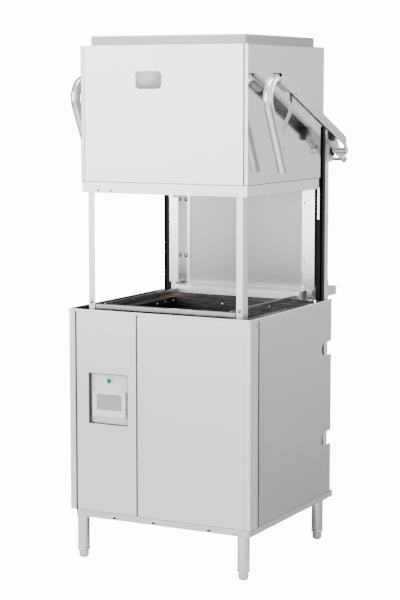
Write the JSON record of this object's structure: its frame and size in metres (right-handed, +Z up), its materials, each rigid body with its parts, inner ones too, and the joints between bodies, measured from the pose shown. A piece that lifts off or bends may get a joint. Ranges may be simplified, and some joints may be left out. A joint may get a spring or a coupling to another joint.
{
  "type": "commercial dishwasher",
  "caption": "Pass-through hood dishwasher with a lifting hood, side lift levers, open wash tank, front control window and stainless cabinet on adjustable legs.",
  "frame": {"origin": "on the floor, under the middle of the whole machine", "axes": "+X to the machine's right, +Y to its back, +Z up"},
  "size_m": [0.769, 0.7689, 1.774],
  "materials": {
    "satin_steel": "fine brushed stainless sheet",
    "tank_steel": "darker water-marked stainless",
    "brushed_frame": "mill-finish stainless angle",
    "polished_tube": "polished stainless tube",
    "zinc_steel": "bright plated fasteners",
    "spring_steel": "oiled spring wire",
    "cast_pump": "cast pump body",
    "grey_paint": "light grey enamel",
    "brass_fitting": "plain brass",
    "black_plastic": "smooth black bearing plastic",
    "recess_plastic": "light grey moulded plastic",
    "white_plastic": "white moulded bezel",
    "screen_glass": "unlit grey display window",
    "green_button": "green lens",
    "black_rubber": "black rubber stop"
  },
  "bodies": {
    "cabinet": {"base_frame": "brushed_frame", "legs": "satin_steel", "front_panel": "satin_steel", "control_panel": "satin_steel", "left_side_panel": "satin_steel", "right_side_panel": "satin_steel", "rear_panel": "satin_steel", "tank_rim": "satin_steel", "wash_tank": "tank_steel", "rear_ledge": "satin_steel", "rack_rails": "satin_steel", "front_posts": "satin_steel", "rear_inner_posts": "satin_steel", "header_band": "satin_steel", "back_wall": "satin_steel", "hood_guides": "black_plastic", "guide_strip": "satin_steel", "rear_uprights": "satin_steel", "lever_brackets": "satin_steel", "pivot_bushes": "black_plastic", "spring_anchors": "brushed_frame", "eye_bolts": "zinc_steel", "lift_springs": "spring_steel", "control_recess": "recess_plastic", "display_bezel": "white_plastic", "display_screen": "screen_glass", "control_box": "grey_paint", "wash_manifold": "satin_steel", "strainer_pans": "satin_steel", "tank_heater": "satin_steel", "wash_pump": "cast_pump", "pump_motor": "grey_paint", "booster_heater": "satin_steel", "fill_valve": "brass_fitting", "chemical_pump": "recess_plastic", "drain_valve": "brass_fitting", "panel_screws": "zinc_steel"},
    "hood": {"hood_front": "satin_steel", "hood_sides": "satin_steel", "hood_top": "satin_steel", "lift_links": "satin_steel", "link_rollers": "black_plastic"},
    "lift_levers": {"lever_bars": "satin_steel", "lever_grips": "polished_tube", "cross_shaft": "zinc_steel", "lever_bumpers": "black_rubber", "stop_bolts": "zinc_steel"},
    "spring_hanger": {"spring_hanger_bar": "zinc_steel"},
    "lower_wash_arm": {"lower_wash_arm": "satin_steel"},
    "upper_wash_arm": {"upper_wash_arm": "satin_steel"},
    "lower_rinse_arm": {"lower_rinse_arm": "satin_steel"},
    "upper_rinse_arm": {"upper_rinse_arm": "satin_steel"},
    "power_button": {"power_button": "green_button"},
    "drain_handle": {"drain_handle": "zinc_steel"},
    "foot_front_left": {"foot_front_left": "satin_steel"},
    "foot_front_right": {"foot_front_right": "satin_steel"},
    "foot_back_left": {"foot_back_left": "satin_steel"},
    "foot_back_right": {"foot_back_right": "satin_steel"}
  },
  "joints": [
    {"name": "hood_lift", "type": "slide", "parent": "cabinet", "child": "hood", "axis": [0, 0, -1], "range_m": [0, 0.44], "deforming": ["lift_springs"]},
    {"name": "lever_swing", "type": "hinge", "parent": "cabinet", "child": "lift_levers", "pos_m": [0, 0.3035, 1.385], "axis": [1, 0, 0], "range_deg": [0, 56]},
    {"name": "spring_pull", "type": "slide", "parent": "cabinet", "child": "spring_hanger", "axis": [0, 0, 1], "range_m": [0, 0.065]},
    {"name": "lower_wash_spin", "type": "hinge", "parent": "cabinet", "child": "lower_wash_arm", "pos_m": [0, -0.0565, 0.755], "axis": [0, 0, 1], "continuous": true},
    {"name": "upper_wash_spin", "type": "hinge", "parent": "cabinet", "child": "upper_wash_arm", "pos_m": [0, -0.0565, 1.257], "axis": [0, 0, 1], "continuous": true},
    {"name": "lower_rinse_spin", "type": "hinge", "parent": "cabinet", "child": "lower_rinse_arm", "pos_m": [0, -0.0565, 0.775], "axis": [0, 0, 1], "continuous": true},
    {"name": "upper_rinse_spin", "type": "hinge", "parent": "cabinet", "child": "upper_rinse_arm", "pos_m": [0, -0.0565, 1.246], "axis": [0, 0, 1], "continuous": true},
    {"name": "power_press", "type": "slide", "parent": "cabinet", "child": "power_button", "axis": [0, 1, 0], "range_m": [0, 0.0025], "stiffness_N_per_m": 400, "springref_m": -0.002},
    {"name": "drain_turn", "type": "hinge", "parent": "cabinet", "child": "drain_handle", "pos_m": [0.15, -0.0035, 0.53], "axis": [0, 1, 0], "range_deg": [0, 90]},
    {"name": "foot_front_left_adjust", "type": "slide", "parent": "cabinet", "child": "foot_front_left", "axis": [0, 0, -1], "range_m": [0, 0.025]},
    {"name": "foot_front_right_adjust", "type": "slide", "parent": "cabinet", "child": "foot_front_right", "axis": [0, 0, -1], "range_m": [0, 0.025]},
    {"name": "foot_back_left_adjust", "type": "slide", "parent": "cabinet", "child": "foot_back_left", "axis": [0, 0, -1], "range_m": [0, 0.025]},
    {"name": "foot_back_right_adjust", "type": "slide", "parent": "cabinet", "child": "foot_back_right", "axis": [0, 0, -1], "range_m": [0, 0.025]}
  ],
  "couplings": [
    {"joint": "lever_swing", "follows": "hood_lift", "rad_per_m": 2.22},
    {"joint": "spring_pull", "follows": "hood_lift", "ratio": 0.1475}
  ]
}
